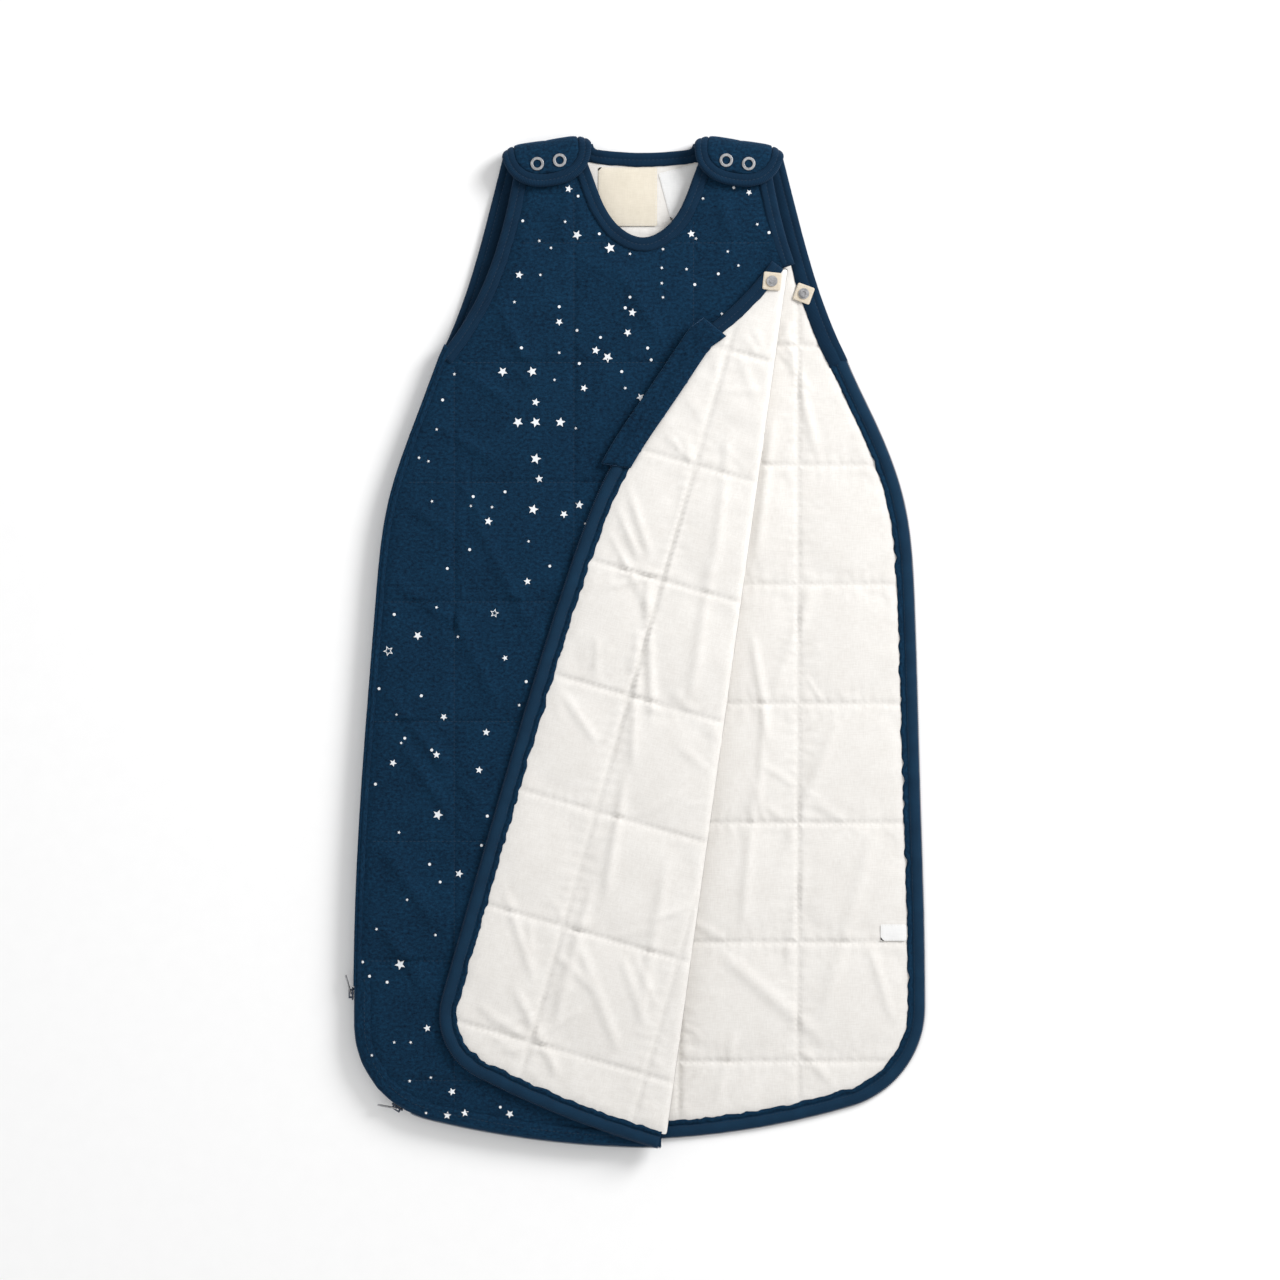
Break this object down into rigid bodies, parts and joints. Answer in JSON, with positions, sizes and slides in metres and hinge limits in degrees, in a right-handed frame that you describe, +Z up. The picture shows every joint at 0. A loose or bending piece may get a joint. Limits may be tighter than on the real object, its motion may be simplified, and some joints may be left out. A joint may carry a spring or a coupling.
{
  "type": "baby sleeping bag",
  "caption": "Quilted baby sleeping bag with shoulder snap tabs and a side zip, lying with its front panel folded half open.",
  "frame": {"origin": "on the underside of the bag, on its centre line, half way between its bottom edge and its shoulders", "axes": "+Y along the bag towards the neck, +X to the right of the bag as seen from above, +Z up from the surface that it lies on"},
  "size_m": [0.4945, 0.862, 0.0279],
  "materials": {
    "navy_knit": "heathered cotton jersey, small white star and dot print",
    "wool_filling": "carded wool batting",
    "white_lining": "plain white cotton, quilted",
    "navy_binding": "ribbed cotton binding, topstitched",
    "zip_tape": "woven polyester zip tape",
    "zip_coil": "moulded nylon coil",
    "slider_metal": "enamelled zinc slider",
    "snap_metal": "nickel-plated brass",
    "beige_twill": "cotton twill tape",
    "cream_label": "woven damask label, blank",
    "white_label": "printed satin label, blank"
  },
  "bodies": {
    "root": {"back_filling": "wool_filling", "back_left_armhole_binding": "navy_binding", "back_lining": "white_lining", "back_neck_binding": "navy_binding", "back_right_armhole_binding": "navy_binding", "back_shell": "navy_knit", "back_zip_coil": "zip_coil", "back_zip_tape": "zip_tape", "back_zip_top_stop": "slider_metal", "care_label": "white_label", "front_filling": "wool_filling", "front_left_armhole_binding": "navy_binding", "front_lining": "white_lining", "front_neck_binding": "navy_binding", "front_right_armhole_binding": "navy_binding", "front_shell": "navy_knit", "front_zip_coil": "zip_coil", "front_zip_tape": "zip_tape", "left_side_seam": "navy_binding", "left_snap_backs": "snap_metal", "left_snap_studs": "snap_metal", "neck_label": "cream_label", "right_snap_backs": "snap_metal", "right_snap_studs": "snap_metal", "side_label": "white_label", "zip_chain": "zip_coil", "zip_edge_tapes": "zip_tape", "zip_end_stop": "zip_coil"},
    "front_flap": {"flap_shell": "navy_knit", "flap_filling": "wool_filling", "flap_lining": "white_lining", "flap_armhole_binding": "navy_binding", "flap_zip_tape": "zip_tape", "flap_zip_coil": "zip_coil", "flap_zip_top_stop": "slider_metal", "zip_guard": "navy_binding", "front_fold": "navy_knit"},
    "left_shoulder_tab": {"left_tab_shell": "navy_knit", "left_tab_filling": "wool_filling", "left_tab_lining": "white_lining", "left_tab_binding": "navy_binding", "left_snap_caps": "snap_metal", "left_snap_sockets": "snap_metal", "left_shoulder_fold": "navy_knit"},
    "right_shoulder_tab": {"right_tab_shell": "navy_knit", "right_tab_filling": "wool_filling", "right_tab_lining": "white_lining", "right_tab_binding": "navy_binding", "right_snap_caps": "snap_metal", "right_snap_sockets": "snap_metal", "right_shoulder_fold": "navy_knit"},
    "end_slider": {"end_slider": "slider_metal"},
    "end_slider_pull": {"end_slider_pull": "slider_metal"},
    "opening_slider": {"opening_slider": "slider_metal"},
    "opening_slider_pull": {"opening_slider_pull": "slider_metal"},
    "back_underarm_tab": {"back_underarm_tab": "beige_twill", "back_underarm_socket": "snap_metal"},
    "flap_underarm_tab": {"flap_underarm_tab": "beige_twill", "flap_underarm_stud": "snap_metal"}
  },
  "joints": [
    {"name": "flap_fold", "type": "hinge", "parent": "root", "child": "front_flap", "pos_m": [0.121, 0.3334, 0.0183], "axis": [0.1387, 0.9903, 0], "range_deg": [0, 180], "deforming": ["front_fold"]},
    {"name": "left_tab_fold", "type": "hinge", "parent": "root", "child": "left_shoulder_tab", "pos_m": [-0.0812, 0.4138, 0.0123], "axis": [-0.9885, -0.1513, 0], "range_deg": [0, 165], "deforming": ["left_shoulder_fold"]},
    {"name": "right_tab_fold", "type": "hinge", "parent": "root", "child": "right_shoulder_tab", "pos_m": [0.0812, 0.4138, 0.0123], "axis": [-0.9885, 0.1513, 0], "range_deg": [0, 165], "deforming": ["right_shoulder_fold"]},
    {"name": "end_slider_run", "type": "slide", "parent": "root", "child": "end_slider", "axis": [0, -1, 0], "range_m": [0, 0.018]},
    {"name": "end_pull_swing", "type": "hinge", "parent": "end_slider", "child": "end_slider_pull", "pos_m": [-0.24845, -0.2995, 0.009], "axis": [0, 0, 1], "range_deg": [-4, 150]},
    {"name": "opening_slider_run", "type": "hinge", "parent": "root", "child": "opening_slider", "pos_m": [-0.162, -0.325, 0.009], "axis": [0, 0, 1], "range_deg": [-42, 14]},
    {"name": "opening_pull_swing", "type": "hinge", "parent": "opening_slider", "child": "opening_slider_pull", "pos_m": [-0.20972, -0.39709, 0.009], "axis": [0, 0, 1], "range_deg": [-11, 145]},
    {"name": "back_underarm_tab_fold", "type": "hinge", "parent": "root", "child": "back_underarm_tab", "pos_m": [0.1395, 0.3033, 0.0066], "axis": [0.9397, -0.342, 0], "range_deg": [-110, 0]},
    {"name": "flap_underarm_tab_fold", "type": "hinge", "parent": "front_flap", "child": "flap_underarm_tab", "pos_m": [0.11, 0.3125, 0.0252], "axis": [0.9945, -0.1045, 0], "range_deg": [-110, 0]}
  ]
}
